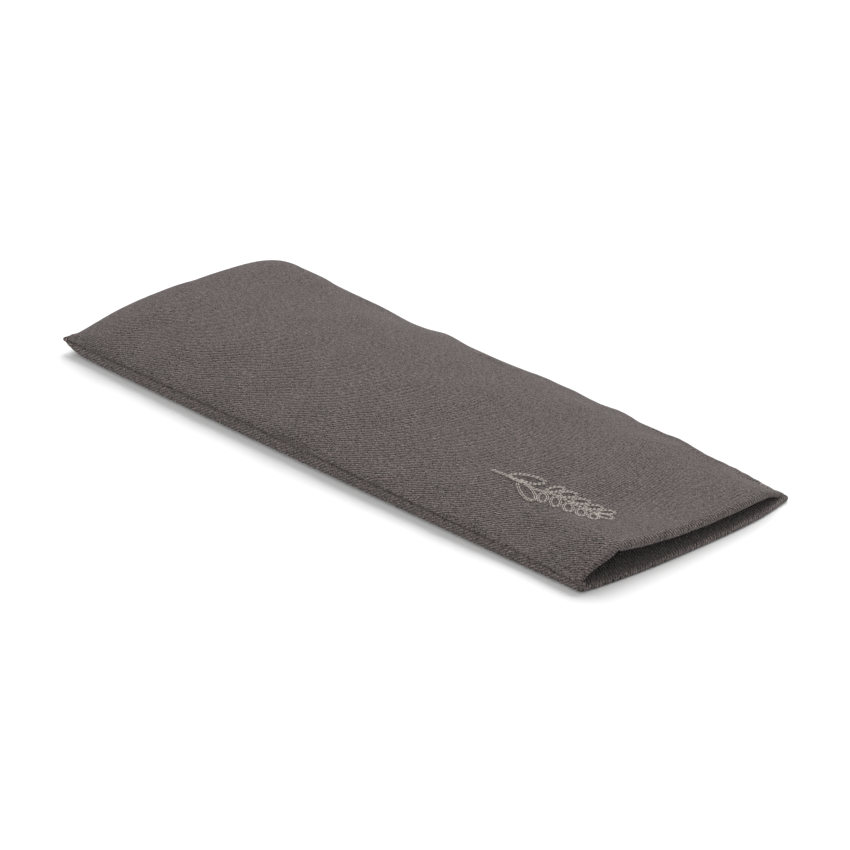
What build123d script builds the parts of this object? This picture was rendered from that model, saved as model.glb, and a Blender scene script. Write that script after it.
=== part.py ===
"""Weighted eye pillow: a twill cover sewn on three sides and open at one end, with a seed-filled insert.

Frame, in millimetres: +X runs along the pillow from the sewn end to the open mouth, +Y is its left
side, +Z is up. The origin is the middle of the footprint, on the surface that the pillow lies on.
"""

import os
from math import atan, cos, radians, sin, sqrt

from build123d import *

# ---- the cover ----
LENGTH = 232.0  # sewn end to mouth
WIDTH = 86.0  # across the pillow as it lies filled
CLOTH = 0.8  # thickness of the cotton twill
SEAM_Z = 4.0  # height of the seam that joins the two panels
RISE_CLOSED = 12.6  # how far the crown stands over the seam at the sewn end
RISE_MOUTH = 5.0  # and at the mouth
RISE_POWER = 2.6  # how late the crown sinks towards the mouth
SHOULDER = 22.0  # length over which the crown rounds down to the sewn end
HEEL = 10.0  # length over which the underside rounds up to the sewn end
EDGE_RUN = 7.0  # width over which the underside rounds up to the side seams
FACING = 12.0  # depth of the cloth turned in at the mouth
ALLOWANCE = 5.5  # width of the seam allowances inside the cover

# ---- the insert ----
INSERT_LENGTH = 205.5
INSERT_WIDTH = 70.0
REAR_GAP = 7.5  # from the cover's sewn end to the insert's rear end
CASING = 0.4  # thickness of the plain cotton casing
INSERT_BASE = 2.15  # underside of the insert, clear of the facing that it slides over
INSERT_SEAM_Z = 5.0
INSERT_ROOF_GAP = 1.5  # from the cover's crown down to the insert's crown
INSERT_SHOULDER = 24.0
INSERT_HEEL = 10.0
INSERT_EDGE_RUN = 8.0
INSERT_ALLOWANCE = 4.0
FILL_GAP = 0.1  # between the casing and the mass of seed

# ---- threads, embroidery and label ----
THREAD = 0.25  # sewing thread
STITCH = 3.8  # length of one lockstitch
STITCH_PITCH = 4.4  # one stitch and the hole beside it
SEAM_INSET = 1.2  # from the inner wall to the seam's stitches
BIND_REACH = 2.4  # how far an overlock stitch reaches in from the raw edge
HEM_PITCH = 6.0  # blind stitches along the mouth
HEM_REACH = 33.0  # half the width that the blind stitches cover
MOTIF_X, MOTIF_Y = 80.0, -19.5  # middle of the embroidered sprig
MOTIF_TILT = 4.0  # degrees
STRAND = 0.9  # width of one embroidered line
RELIEF = 0.5  # height of the embroidery over the cloth
BACKING = 0.3
BACKING_LENGTH, BACKING_WIDTH = 52.0, 19.0
LABEL_X, LABEL_LENGTH, LABEL_THICK = -48.0, 24.0, 0.3

HALF = LENGTH / 2
TALL = 40.0  # higher than anything on the pillow

os.makedirs("parts", exist_ok=True)


def shoulder(distance, run):
    """Quarter ellipse from 0 at an end to 1 at run or further from it."""
    left = max(0.0, 1 - distance / run)
    return sqrt(max(0.0, 1 - left * left))


def cover_top(d):
    """Height of the cover's crown, d from the sewn end."""
    rise = RISE_CLOSED - (RISE_CLOSED - RISE_MOUTH) * max(0.0, d / LENGTH) ** RISE_POWER
    return SEAM_Z + CLOTH + (rise - CLOTH) * shoulder(d, SHOULDER)


def cover_bottom(d):
    """Height of the cover's underside, d from the sewn end."""
    return (SEAM_Z - CLOTH) * (1 - shoulder(d, HEEL))


def insert_top(d):
    """Height of the insert's crown, d from its rear end."""
    low = INSERT_SEAM_Z + CASING
    roof = cover_top(d + REAR_GAP) - INSERT_ROOF_GAP
    ends = shoulder(d, INSERT_SHOULDER) * shoulder(INSERT_LENGTH - d, INSERT_SHOULDER)
    return low + (roof - low) * ends


def insert_bottom(d):
    """Height of the insert's underside, d from its rear end."""
    ends = shoulder(d, INSERT_HEEL) * shoulder(INSERT_LENGTH - d, INSERT_HEEL)
    return INSERT_BASE + (INSERT_SEAM_Z - CASING - INSERT_BASE) * (1 - ends)


def pillow_section(x, half_width, run, low, seam, high):
    """Closed outline across a pillow: a flat base, two rounded lower edges and an elliptical top."""
    with BuildSketch(Plane(origin=(x, 0, 0), x_dir=(0, 1, 0), z_dir=(1, 0, 0))) as section:
        with BuildLine():
            flat = half_width - run
            Line((-flat, low), (flat, low))
            EllipticalCenterArc((flat, seam), run, seam - low, 270, arc_size=90)
            EllipticalCenterArc((0, seam), half_width, high - seam, 0, arc_size=90)
            EllipticalCenterArc((0, seam), half_width, high - seam, 90, arc_size=90)
            EllipticalCenterArc((-flat, seam), run, seam - low, 180, arc_size=90)
        make_face()
    return section.sketch


def cover_section(d, inset=0.0):
    """The cover's outline d from its sewn end, shrunk inwards by inset."""
    high = min(cover_top(d - inset), cover_top(d + inset)) - inset
    low = max(cover_bottom(d - inset), cover_bottom(d + inset)) + inset
    return pillow_section(d - HALF, WIDTH / 2 - inset, EDGE_RUN - inset, low, SEAM_Z, high)


def insert_section(d, inset=0.0):
    """The insert's outline d from its rear end, shrunk inwards by inset."""
    high = min(insert_top(d - inset), insert_top(d + inset)) - inset
    low = max(insert_bottom(d - inset), insert_bottom(d + inset)) + inset
    x = REAR_GAP + d - HALF
    half_width, run = INSERT_WIDTH / 2 - inset, INSERT_EDGE_RUN - inset
    return pillow_section(x, half_width, run, low, INSERT_SEAM_Z, high)


# Stations crowd towards the ends, where the outline changes fastest. Every loft is ruled between them,
# so that no surface swings past its sections.
END_STEPS = (0.0, 0.8, 2.0, 4.0, 7.0, 10.0, 15.0)
COVER_STATIONS = (*END_STEPS, SHOULDER, 60.0, 110.0, 160.0, 200.0, LENGTH)
INSIDE_STEPS = (1.6, 3.0, 5.0, 8.0, 11.0, 15.0)
CAVITY_STATIONS = (*INSIDE_STEPS, SHOULDER + 1, 60.0, 110.0, 160.0, 200.0, LENGTH + 1)
FACING_STATIONS = (LENGTH - FACING, LENGTH + 1)
INSERT_MIDDLE = (INSERT_SHOULDER, 70.0, 130.0, INSERT_LENGTH - INSERT_SHOULDER)
INSERT_STATIONS = (*END_STEPS, *INSERT_MIDDLE, *(INSERT_LENGTH - s for s in reversed(END_STEPS)))
CASING_STATIONS = (*INSIDE_STEPS, *INSERT_MIDDLE, *(INSERT_LENGTH - s for s in reversed(INSIDE_STEPS)))


# ---- forms that the panels are cut from ----
with BuildPart() as cover_form:
    loft(sections=[cover_section(d) for d in COVER_STATIONS], ruled=True)

with BuildPart() as cover_cavity:
    loft(sections=[cover_section(d, CLOTH) for d in CAVITY_STATIONS], ruled=True)

with BuildPart() as mouth_cavity:
    loft(sections=[cover_section(d, 2 * CLOTH) for d in FACING_STATIONS], ruled=True)

# The facing is a second layer inside the mouth, so the wide cavity stops where it starts.
with BuildPart() as cover_hollow:
    add(cover_cavity.part)
    with BuildSketch(Plane.YZ.offset(HALF - FACING)):
        Rectangle(2 * WIDTH, 2 * TALL)
    extrude(amount=2 * FACING, mode=Mode.SUBTRACT)
    add(mouth_cavity.part)

# The seam allowances stand inwards from the seam like a flange, around three sides.
with BuildPart() as cover_flange:
    with BuildSketch(Plane.XY.offset(SEAM_Z)):
        Rectangle(LENGTH, WIDTH)
        with Locations((CLOTH + ALLOWANCE, 0)):
            Rectangle(LENGTH, WIDTH - 2 * (CLOTH + ALLOWANCE), mode=Mode.SUBTRACT)
    extrude(amount=CLOTH, both=True)
    add(cover_form.part, mode=Mode.INTERSECT)

with BuildPart() as insert_form:
    loft(sections=[insert_section(d) for d in INSERT_STATIONS], ruled=True)

with BuildPart() as insert_cavity:
    loft(sections=[insert_section(d, CASING) for d in CASING_STATIONS], ruled=True)

INSERT_X = REAR_GAP + INSERT_LENGTH / 2 - HALF  # middle of the insert

with BuildPart() as insert_flange:
    with BuildSketch(Plane.XY.offset(INSERT_SEAM_Z)):
        with Locations((INSERT_X, 0)):
            Rectangle(INSERT_LENGTH, INSERT_WIDTH)
            inner = 2 * (CASING + INSERT_ALLOWANCE)
            Rectangle(INSERT_LENGTH - inner, INSERT_WIDTH - inner, mode=Mode.SUBTRACT)
    extrude(amount=CASING, both=True)
    add(insert_form.part, mode=Mode.INTERSECT)


# ---- cover panels ----
with BuildPart() as top_panel:
    add(cover_form.part)
    add(cover_hollow.part, mode=Mode.SUBTRACT)
    add(cover_flange.part)
    split(bisect_by=Plane.XY.offset(SEAM_Z), keep=Keep.TOP)
top_panel.part.label = "top_panel"
export_step(top_panel.part, "parts/top_panel.step")

with BuildPart() as bottom_panel:
    add(cover_form.part)
    add(cover_hollow.part, mode=Mode.SUBTRACT)
    add(cover_flange.part)
    split(bisect_by=Plane.XY.offset(SEAM_Z), keep=Keep.BOTTOM)
bottom_panel.part.label = "bottom_panel"
export_step(bottom_panel.part, "parts/bottom_panel.step")


# ---- cover seams: each stitch is a loop of thread round both allowances ----
def loop_row(plane, count, width, height, pitch=STITCH_PITCH):
    """Sketch of a row of thread loops, seen along the seam's cross direction."""
    with BuildSketch(plane) as row:
        with GridLocations(pitch, 1, count, 1):
            Rectangle(width, height)
            Rectangle(width - 2 * THREAD, height - 2 * THREAD, mode=Mode.SUBTRACT)
    return row.sketch


SEAM_LOOP = 2 * CLOTH + 2 * THREAD
SEAM_Y = WIDTH / 2 - CLOTH - SEAM_INSET
SEAM_X = -HALF + CLOTH + SEAM_INSET
SIDE_COUNT = int((LENGTH - 12) / STITCH_PITCH)
END_COUNT = int((WIDTH - 12) / STITCH_PITCH)

with BuildPart() as right_side_seam_thread:
    plane = Plane(origin=(0, -SEAM_Y, SEAM_Z), x_dir=(1, 0, 0), z_dir=(0, 1, 0))
    extrude(loop_row(plane, SIDE_COUNT, STITCH, SEAM_LOOP), amount=THREAD / 2, both=True)
right_side_seam_thread.part.label = "right_side_seam_thread"
export_step(right_side_seam_thread.part, "parts/right_side_seam_thread.step")

with BuildPart() as left_side_seam_thread:
    plane = Plane(origin=(0, SEAM_Y, SEAM_Z), x_dir=(1, 0, 0), z_dir=(0, 1, 0))
    extrude(loop_row(plane, SIDE_COUNT, STITCH, SEAM_LOOP), amount=THREAD / 2, both=True)
left_side_seam_thread.part.label = "left_side_seam_thread"
export_step(left_side_seam_thread.part, "parts/left_side_seam_thread.step")

with BuildPart() as closed_end_seam_thread:
    plane = Plane(origin=(SEAM_X, 0, SEAM_Z), x_dir=(0, 1, 0), z_dir=(1, 0, 0))
    extrude(loop_row(plane, END_COUNT, STITCH, SEAM_LOOP), amount=THREAD / 2, both=True)
closed_end_seam_thread.part.label = "closed_end_seam_thread"
export_step(closed_end_seam_thread.part, "parts/closed_end_seam_thread.step")


# ---- overlock: loops of thread round the raw edges of the allowances ----
def binding_loop(plane, along):
    """Sketch of one overlock loop; along is where it stands on the raw edge."""
    with BuildSketch(plane.offset(along)) as loop:
        Rectangle(BIND_REACH, SEAM_LOOP)
        Rectangle(BIND_REACH - 2 * THREAD, SEAM_LOOP - 2 * THREAD, mode=Mode.SUBTRACT)
    return loop.sketch


def row_places(count):
    """Distances of the stitches of a row from its middle."""
    return [(i - (count - 1) / 2) * STITCH_PITCH for i in range(count)]


BIND_Y = WIDTH / 2 - CLOTH - ALLOWANCE + BIND_REACH / 2 - THREAD
BIND_X = -HALF + CLOTH + ALLOWANCE - BIND_REACH / 2 + THREAD

with BuildPart() as right_side_overlock_thread:
    plane = Plane(origin=(0, -BIND_Y, SEAM_Z), x_dir=(0, 1, 0), z_dir=(1, 0, 0))
    for along in row_places(SIDE_COUNT):
        extrude(binding_loop(plane, along), amount=THREAD)
right_side_overlock_thread.part.label = "right_side_overlock_thread"
export_step(right_side_overlock_thread.part, "parts/right_side_overlock_thread.step")

with BuildPart() as left_side_overlock_thread:
    plane = Plane(origin=(0, BIND_Y, SEAM_Z), x_dir=(0, 1, 0), z_dir=(1, 0, 0))
    for along in row_places(SIDE_COUNT):
        extrude(binding_loop(plane, along), amount=THREAD)
left_side_overlock_thread.part.label = "left_side_overlock_thread"
export_step(left_side_overlock_thread.part, "parts/left_side_overlock_thread.step")

with BuildPart() as closed_end_overlock_thread:
    plane = Plane(origin=(BIND_X, 0, SEAM_Z), x_dir=(1, 0, 0), z_dir=(0, 1, 0))
    for along in row_places(END_COUNT - 4):
        extrude(binding_loop(plane, along), amount=THREAD)
closed_end_overlock_thread.part.label = "closed_end_overlock_thread"
export_step(closed_end_overlock_thread.part, "parts/closed_end_overlock_thread.step")


# ---- blind stitches that hold the facings ----
HEM_X = HALF - FACING + 1.5
HEM_BITE = 0.3  # how far a blind stitch goes into the outer layer
HEM_LOOP = CLOTH + HEM_BITE + THREAD
HEM_PLACES = [i * HEM_PITCH for i in range(int(-HEM_REACH / HEM_PITCH), int(HEM_REACH / HEM_PITCH) + 1)]


def hem_loop(plane):
    """Sketch of one blind stitch, in a plane that stands along the pillow."""
    with BuildSketch(plane) as loop:
        Rectangle(2.4, HEM_LOOP)
        Rectangle(2.4 - 2 * THREAD, HEM_LOOP - 2 * THREAD, mode=Mode.SUBTRACT)
    return loop.sketch


with BuildPart() as bottom_hem_thread:
    middle = CLOTH - HEM_BITE + HEM_LOOP / 2 - THREAD / 2
    for y in HEM_PLACES:
        plane = Plane(origin=(HEM_X, y, middle), x_dir=(1, 0, 0), z_dir=(0, 1, 0))
        extrude(hem_loop(plane), amount=THREAD)
bottom_hem_thread.part.label = "bottom_hem_thread"
export_step(bottom_hem_thread.part, "parts/bottom_hem_thread.step")

with BuildPart() as top_hem_thread:
    half_width = WIDTH / 2 - CLOTH
    rise = cover_top(HEM_X + HALF) - CLOTH - SEAM_Z
    depth = HEM_LOOP / 2 - HEM_BITE
    for y in HEM_PLACES:
        drop = sqrt(1 - (y / half_width) ** 2)
        slope = atan(-rise * y / half_width**2 / drop)
        centre_y, centre_z = y + depth * sin(slope), SEAM_Z + rise * drop - depth * cos(slope)
        plane = Plane(
            origin=(HEM_X, centre_y, centre_z),
            x_dir=(1, 0, 0),
            z_dir=(0, cos(slope), sin(slope)),
        )
        extrude(hem_loop(plane), amount=THREAD)
top_hem_thread.part.label = "top_hem_thread"
export_step(top_hem_thread.part, "parts/top_hem_thread.step")


# ---- embroidery: a sprig of lavender in outline, with its backing ----
def petal(x, y, turn, long, wide):
    """Outline of one leaf or bud as a ring of thread."""
    with BuildSketch(Location((x, y, 0), (0, 0, turn))) as ring:
        Ellipse(long, wide)
        Ellipse(long - STRAND, wide - STRAND, mode=Mode.SUBTRACT)
    return ring.sketch


def stem_height(x):
    """The stem rises gently along the sprig."""
    return 1.6 * sin(radians(3.2 * x))


STEM_REACH = 21.0
BUD_STEP = 4.4
LEAVES = ((-14.0, 1, 26, 5.2, 1.7), (-10.5, -1, -26, 5.2, 1.7))

with BuildSketch(Location((MOTIF_X, MOTIF_Y, 0), (0, 0, MOTIF_TILT))) as sprig:
    with BuildLine():
        Spline(*[(x, stem_height(x)) for x in (-STEM_REACH, -10.5, 0.0, 10.5, STEM_REACH - 4)])
    trace(line_width=STRAND)
    for x, side, turn, long, wide in LEAVES:
        away = 0.5 + long * sin(radians(abs(turn)))
        add(petal(x + 4, stem_height(x) + side * away, turn, long, wide))
    for i in range(5):
        x = -2.0 + BUD_STEP * i
        for side in (1, -1):
            add(petal(x + 1.6, stem_height(x) + side * 2.7, side * 48, 2.5, 1.35))
    add(petal(STEM_REACH - 2, stem_height(STEM_REACH - 3), 0, 2.6, 1.4))

with BuildPart() as raised_form:
    loft(sections=[cover_section(d, -RELIEF) for d in COVER_STATIONS[7:]])

with BuildPart() as embroidery_thread:
    extrude(sprig.sketch, amount=TALL)
    add(raised_form.part, mode=Mode.INTERSECT)
    add(cover_form.part, mode=Mode.SUBTRACT)
embroidery_thread.part.label = "embroidery_thread"
export_step(embroidery_thread.part, "parts/embroidery_thread.step")

with BuildPart() as lowered_cavity:
    loft(sections=[cover_section(d, CLOTH + BACKING) for d in CAVITY_STATIONS[6:]])

with BuildPart() as embroidery_backing:
    with BuildSketch(Plane.XY.offset(SEAM_Z + CLOTH)):
        with Locations((HALF - FACING - 0.5 - BACKING_LENGTH / 2, MOTIF_Y)):
            Rectangle(BACKING_LENGTH, BACKING_WIDTH)
    extrude(amount=TALL)
    add(cover_cavity.part, mode=Mode.INTERSECT)
    add(lowered_cavity.part, mode=Mode.SUBTRACT)
embroidery_backing.part.label = "embroidery_backing"
export_step(embroidery_backing.part, "parts/embroidery_backing.step")


# ---- care label: caught under the left allowance, lying on the cover's floor ----
LABEL_ROOT = SEAM_Y + THREAD
LABEL_EDGE = WIDTH / 2 - CLOTH - ALLOWANCE
LABEL_HIGH = SEAM_Z - CLOTH - LABEL_THICK / 2
LABEL_LOW = CLOTH + LABEL_THICK / 2

with BuildPart() as care_label:
    with BuildSketch(Plane(origin=(LABEL_X, 0, 0), x_dir=(0, 1, 0), z_dir=(1, 0, 0))):
        with BuildLine():
            Polyline(
                (LABEL_ROOT, LABEL_HIGH),
                (LABEL_EDGE - 0.5, LABEL_HIGH),
                (LABEL_EDGE - 3.0, LABEL_LOW),
                (LABEL_EDGE - 20.0, LABEL_LOW),
            )
        trace(line_width=LABEL_THICK)
    extrude(amount=LABEL_LENGTH / 2, both=True)
care_label.part.label = "care_label"
export_step(care_label.part, "parts/care_label.step")


# ---- insert casing ----
with BuildPart() as insert_top_panel:
    add(insert_form.part)
    add(insert_cavity.part, mode=Mode.SUBTRACT)
    add(insert_flange.part)
    split(bisect_by=Plane.XY.offset(INSERT_SEAM_Z), keep=Keep.TOP)
insert_top_panel.part.label = "insert_top_panel"
export_step(insert_top_panel.part, "parts/insert_top_panel.step")

with BuildPart() as insert_bottom_panel:
    add(insert_form.part)
    add(insert_cavity.part, mode=Mode.SUBTRACT)
    add(insert_flange.part)
    split(bisect_by=Plane.XY.offset(INSERT_SEAM_Z), keep=Keep.BOTTOM)
insert_bottom_panel.part.label = "insert_bottom_panel"
export_step(insert_bottom_panel.part, "parts/insert_bottom_panel.step")

# ---- insert threads ----
INSERT_LOOP = 2 * CASING + 2 * THREAD
INSERT_SEAM_Y = INSERT_WIDTH / 2 - CASING - SEAM_INSET
INSERT_SEAM_X = INSERT_LENGTH / 2 - CASING - SEAM_INSET
INSERT_SIDE_COUNT = int((INSERT_LENGTH - 12) / STITCH_PITCH)
INSERT_END_COUNT = int((INSERT_WIDTH - 12) / STITCH_PITCH)

with BuildPart() as insert_side_seam_thread:
    for y in (-INSERT_SEAM_Y, INSERT_SEAM_Y):
        plane = Plane(origin=(INSERT_X, y, INSERT_SEAM_Z), x_dir=(1, 0, 0), z_dir=(0, 1, 0))
        extrude(loop_row(plane, INSERT_SIDE_COUNT, STITCH, INSERT_LOOP), amount=THREAD / 2, both=True)
    rear = INSERT_X - INSERT_SEAM_X
    plane = Plane(origin=(rear, 0, INSERT_SEAM_Z), x_dir=(0, 1, 0), z_dir=(1, 0, 0))
    extrude(loop_row(plane, INSERT_END_COUNT, STITCH, INSERT_LOOP), amount=THREAD / 2, both=True)
insert_side_seam_thread.part.label = "insert_side_seam_thread"
export_step(insert_side_seam_thread.part, "parts/insert_side_seam_thread.step")

with BuildPart() as insert_closing_thread:
    front = INSERT_X + INSERT_SEAM_X
    plane = Plane(origin=(front, 0, INSERT_SEAM_Z), x_dir=(0, 1, 0), z_dir=(1, 0, 0))
    extrude(loop_row(plane, INSERT_END_COUNT, STITCH, INSERT_LOOP), amount=THREAD / 2, both=True)
insert_closing_thread.part.label = "insert_closing_thread"
export_step(insert_closing_thread.part, "parts/insert_closing_thread.step")

# ---- the mass of seed fills the casing and leaves room for the seam inside it ----
with BuildPart() as flaxseed_filling:
    loft(sections=[insert_section(d, CASING + FILL_GAP) for d in CASING_STATIONS], ruled=True)
    with BuildSketch(Plane.XY.offset(INSERT_SEAM_Z)):
        with Locations((INSERT_X, 0)):
            Rectangle(INSERT_LENGTH, INSERT_WIDTH)
            inner = 2 * (CASING + INSERT_ALLOWANCE + FILL_GAP)
            Rectangle(INSERT_LENGTH - inner, INSERT_WIDTH - inner, mode=Mode.SUBTRACT)
    extrude(amount=INSERT_LOOP / 2 + FILL_GAP, both=True, mode=Mode.SUBTRACT)
flaxseed_filling.part.label = "flaxseed_filling"
export_step(flaxseed_filling.part, "parts/flaxseed_filling.step")

print("crown at the sewn end's shoulder, mm:", round(cover_top(SHOULDER), 2))
print("crown at the mouth, mm:", round(cover_top(LENGTH), 2))
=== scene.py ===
# %% [markdown]
# # A weighted eye pillow
# The pillow is a cover of cotton twill, sewn along both long sides and one end and open at the other
# end, with a seed-filled insert inside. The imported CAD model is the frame: it says how long, wide and
# high everything is, and which pieces move with the insert. Every surface below is worked out with
# numpy as a function of two numbers, one along the pillow and one around it, and is then put in a mesh.

import bpy
import numpy as np
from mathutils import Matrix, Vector


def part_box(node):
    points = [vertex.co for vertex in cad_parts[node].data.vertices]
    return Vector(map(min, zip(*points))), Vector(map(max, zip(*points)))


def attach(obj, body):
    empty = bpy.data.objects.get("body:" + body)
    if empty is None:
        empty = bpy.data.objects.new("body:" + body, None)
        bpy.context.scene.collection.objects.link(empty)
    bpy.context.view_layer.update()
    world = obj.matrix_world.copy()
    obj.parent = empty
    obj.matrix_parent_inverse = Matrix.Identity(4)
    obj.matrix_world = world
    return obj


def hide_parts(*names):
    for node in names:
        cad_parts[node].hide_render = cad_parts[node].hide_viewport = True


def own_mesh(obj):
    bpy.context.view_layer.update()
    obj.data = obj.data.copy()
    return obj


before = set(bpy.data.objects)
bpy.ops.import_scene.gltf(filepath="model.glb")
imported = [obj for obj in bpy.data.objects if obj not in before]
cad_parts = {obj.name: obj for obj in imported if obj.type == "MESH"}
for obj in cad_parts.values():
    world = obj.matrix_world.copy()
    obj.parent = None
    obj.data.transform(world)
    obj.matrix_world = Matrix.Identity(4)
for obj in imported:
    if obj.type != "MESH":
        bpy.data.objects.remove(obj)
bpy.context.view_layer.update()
print("nodes in the frame:", len(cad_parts))

# %% [markdown]
# ## Sizes
# All shapes are computed in millimetres, which is how a maker measures cloth, and turned to metres
# when the mesh is made. The main sizes come from the boxes of the CAD nodes: the top panel runs from
# the seam up to the crown, and the bottom panel from the floor up to the seam.

# %% Sizes from the frame
MM = 0.001
top_low, top_high = (np.array(corner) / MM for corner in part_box("top_panel"))
insert_low, insert_high = (np.array(corner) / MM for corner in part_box("insert_bottom_panel"))
X_END, X_MOUTH = top_low[0], top_high[0]
LENGTH = X_MOUTH - X_END
HALF_WIDTH = top_high[1]
SEAM, CROWN = top_low[2], top_high[2]
CLOTH = 0.8  # thickness of the twill
FACING = 12.0  # depth of the cloth turned in at the mouth
MOUTH_RISE = 5.0  # height of the crown over the seam at the mouth
print(f"cover {LENGTH:.0f} x {2 * HALF_WIDTH:.0f} mm, seam {SEAM:.1f}, crown {CROWN:.1f}")

# %% [markdown]
# ## Small helpers for curves
# A smooth step is the same S-shaped curve that film editors use for fades. It joins two values with no
# kink. A soft spot is a smooth mound: a bell curve in two directions, turned to any angle.


# %% Curve helpers
def smooth_step(value, start, end):
    """0 before start, 1 after end, and 3t^2 - 2t^3 between them."""
    t = np.clip((value - start) / (end - start), 0, 1)
    return t * t * (3 - 2 * t)


def soft_spot(x, y, centre, reach, turn=0.0):
    """exp(-(along/a)^2 - (across/b)^2), about centre, with its long axis turned by turn degrees."""
    c, s = np.cos(np.radians(turn)), np.sin(np.radians(turn))
    along = (x - centre[0]) * c + (y - centre[1]) * s
    across = (y - centre[1]) * c - (x - centre[0]) * s
    return np.exp(-((along / reach[0]) ** 2) - (across / reach[1]) ** 2)


def shoulder(distance, run):
    """Quarter ellipse: 0 at an end, 1 at run or further from it."""
    left = np.clip(1 - distance / run, 0, 1)
    return np.sqrt(1 - left * left)


# %% [markdown]
# ## The cross-section of the pillow
# Across the pillow, each panel is half of a superellipse, |y|^n + |z|^n = 1. With n = 2 it is an
# ellipse, and with a larger n it is boxier, like a cushion that is packed to its corners. The filling
# sits thicker in the left corner of the sewn end, so n is larger there. The point on the curve is
# found from its direction, an angle that runs from -90 to 90 degrees across the panel, because that
# places many rows of vertices at the steep sides, where the seam is.


# %% Section helpers
def superellipse(angle, power):
    """Unit superellipse by direction: r = (|sin|^n + |cos|^n)^(-1/n), giving across and up."""
    across, up = np.sin(angle), np.cos(angle)
    r = (np.abs(across) ** power + np.abs(up) ** power) ** (-1 / power)
    return across * r, up * r


def seam_height(d, side):
    """The seams rise a little, then sink towards the mouth; the left one lies down in its corner."""
    share = np.clip(d / LENGTH, 0, 1)
    height = SEAM - 0.1 + 1.0 * np.sin(np.pi * share**0.75) - 0.7 * share**3
    return height - 1.4 * smooth_step(side, 0.2, 1.0) * smooth_step(d, LENGTH - 24, LENGTH)


def half_width(d):
    """The filling pushes the sides out by a millimetre between the corners."""
    return HALF_WIDTH + 1.0 * np.sin(np.pi * np.clip(d / LENGTH, 0, 1))


def crown_rise(d):
    """How far the crown stands over the seam: highest near the sewn end, sinking late."""
    high = CROWN - SEAM
    rise = high - (high - MOUTH_RISE) * np.clip(d / LENGTH, 0, 1) ** 2.6
    return rise * shoulder(d, 20.0)


# %% [markdown]
# ## The seam's groove
# Where two panels are sewn and turned out, the cloth rolls over on both sides of the stitches and
# leaves a narrow valley. The same bell curve of the height above the seam pulls both panels inwards.
# Every stitch also pinches the cloth a little, so the seam's two edges are faintly scalloped, and the
# corners of the sewn end stick out as small points, because four layers of cloth are packed into them.


# %% Seam groove
GROOVE_DEPTH, GROOVE_REACH = 0.85, 0.3
STITCH_PITCH = 4.4


def groove(z, seam):
    """Depth of the valley at height z: a bell curve about the seam."""
    return GROOVE_DEPTH * np.exp(-(((z - seam) / GROOVE_REACH) ** 2))


def pinch(along, z, seam, phase):
    """Scallops beside the seam: a wave of one stitch's length, stronger and weaker by turns."""
    wave = np.sin(2 * np.pi * along / STITCH_PITCH + phase + 1.5 * np.sin(along / 9.0))
    strength = 0.08 + 0.05 * np.sin(along / 13.0 + phase)
    return strength * wave * np.exp(-(((z - seam) / 2.2) ** 2))


def sewn_edges(x, y, z, d, across, seam, phase):
    """Moves points of a panel in at the seams and out at the sewn end's two corners."""
    outwards = pinch(x, z, seam, phase) - groove(z, seam)
    corner = 0.3 * np.abs(across) ** 7 * (1 - smooth_step(d, 0.0, 9.0))
    end = 1 - smooth_step(d, 0.0, 5.0)
    y = y + np.sign(across) * outwards * smooth_step(np.abs(across), 0.5, 0.9)
    x = x - corner + (groove(z, seam) - pinch(y, z, seam, phase)) * end
    return x, y


# %% [markdown]
# ## The mouth
# The mouth's edge bows outwards in the middle. Its top lip is a fold: near the right corner it is
# pressed flat, and between two small creases it is puffy, so that a band of turned cloth shows. A fold
# is half a turn of a circle, and its radius changes along the mouth. The crest's heights are listed: it
# climbs steadily from the right corner to the bump beside the crease, sinks slowly over the open part,
# and drops to the left corner, which lies almost on the floor.


# %% Mouth outline
RIGHT_CREASE, LEFT_CREASE = -28.0, 34.0  # where the puffy part of the top lip starts and ends
LOWER_LIP = 0.9  # radius of the bottom lip's fold
LIP_HEIGHTS = (  # height of the top lip's crest at places across the mouth, all mm
    (-43.0, 3.5),
    (-39.6, 6.2),
    (-35.7, 8.5),
    (-32.3, 10.2),
    (-29.4, 11.2),
    (-26.4, 11.0),
    (-20.0, 10.0),
    (-7.4, 8.7),
    (6.0, 7.9),
    (20.0, 7.4),
    (28.0, 7.2),
    (33.0, 6.5),
    (36.0, 5.2),
    (39.0, 4.0),
    (43.0, 1.7),
)


def mouth_x(t):
    """Place of the mouth's edge; t runs from -1 to 1 across the pillow."""
    return X_MOUTH + 1.2 - 2.7 * np.abs(t) ** 2.4 - 1.0 * smooth_step(t, 0.6, 1.0)


def lip_height(y):
    """Height of the top lip's crest: straight lines between the places, each averaged over 3 mm."""
    places, heights = np.array(LIP_HEIGHTS).T
    return sum(np.interp(y + shift, places, heights) for shift in (-1.5, -0.75, 0, 0.75, 1.5)) / 5


def top_lip_radius(y):
    """Radius of the top lip's fold: small at both corners, twice as large between the creases."""
    puffy = smooth_step(y, RIGHT_CREASE - 2.0, RIGHT_CREASE + 1.5)
    puffy *= 1 - smooth_step(y, LEFT_CREASE - 2.0, LEFT_CREASE + 2.0)
    return 0.9 + (0.75 - 0.006 * (y - RIGHT_CREASE)) * puffy
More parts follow.
